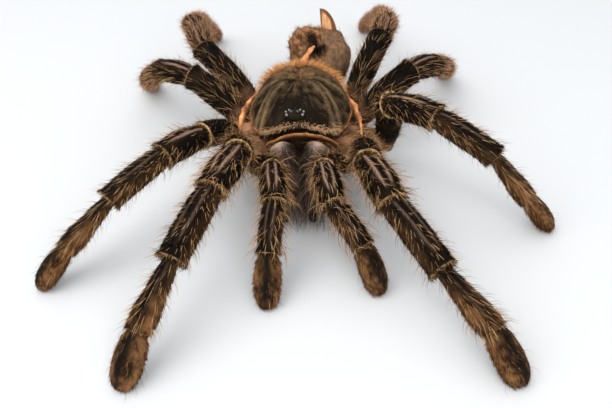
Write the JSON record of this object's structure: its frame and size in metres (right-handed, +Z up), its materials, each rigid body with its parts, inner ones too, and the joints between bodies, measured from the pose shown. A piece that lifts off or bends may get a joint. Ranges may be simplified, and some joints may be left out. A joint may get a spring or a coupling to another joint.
{
  "type": "tarantula specimen",
  "caption": "Life-size spider model: a hairy, heavy-bodied tarantula standing with its legs spread, for display on a flat surface.",
  "frame": {"origin": "on the floor, under the middle of the bounding box", "axes": "+Z up, the spider faces -Y, and its left side is towards +X"},
  "size_m": [0.0842, 0.1158, 0.0213],
  "materials": {
    "carapace": "hard shell under short olive-brown hair",
    "limb": "dark brown velvet with long tan bristles",
    "foot": "dense rust-brown pad hair",
    "membrane": "salmon-orange joint membrane",
    "sternum": "dark velvet",
    "chelicera": "grey-brown hair over shiny shell",
    "fang": "glossy black",
    "abdomen": "dry, wrinkled, hairy skin",
    "eye": "glossy black"
  },
  "bodies": {
    "root": {"abdomen": "abdomen", "carapace": "carapace", "chelicera_left": "chelicera", "chelicera_right": "chelicera", "eye_tubercle": "eye", "fang_left": "fang", "fang_right": "fang", "leg_1_left_femur": "limb", "leg_1_left_metatarsus": "limb", "leg_1_left_patella": "limb", "leg_1_left_tarsus": "foot", "leg_1_left_tibia": "limb", "leg_1_right_femur": "limb", "leg_1_right_metatarsus": "limb", "leg_1_right_patella": "limb", "leg_1_right_tarsus": "foot", "leg_1_right_tibia": "limb", "leg_2_left_femur": "limb", "leg_2_left_metatarsus": "limb", "leg_2_left_patella": "limb", "leg_2_left_tarsus": "foot", "leg_2_left_tibia": "limb", "leg_2_right_femur": "limb", "leg_2_right_metatarsus": "limb", "leg_2_right_patella": "limb", "leg_2_right_tarsus": "foot", "leg_2_right_tibia": "limb", "leg_3_left_femur": "limb", "leg_3_left_metatarsus": "limb", "leg_3_left_patella": "limb", "leg_3_left_tarsus": "foot", "leg_3_left_tibia": "limb", "leg_3_right_femur": "limb", "leg_3_right_metatarsus": "limb", "leg_3_right_patella": "limb", "leg_3_right_tarsus": "foot", "leg_3_right_tibia": "limb", "leg_4_left_femur": "limb", "leg_4_left_metatarsus": "limb", "leg_4_left_patella": "limb", "leg_4_left_tarsus": "foot", "leg_4_left_tibia": "limb", "leg_4_right_femur": "limb", "leg_4_right_metatarsus": "limb", "leg_4_right_patella": "limb", "leg_4_right_tarsus": "foot", "leg_4_right_tibia": "limb", "palp_left_femur": "limb", "palp_left_patella": "limb", "palp_left_tarsus": "foot", "palp_left_tibia": "limb", "palp_right_femur": "limb", "palp_right_patella": "limb", "palp_right_tarsus": "foot", "palp_right_tibia": "limb", "pedicel": "membrane", "pleura": "membrane", "spinneret_left": "limb", "spinneret_right": "limb", "sternum": "sternum"}
  },
  "joints": []
}
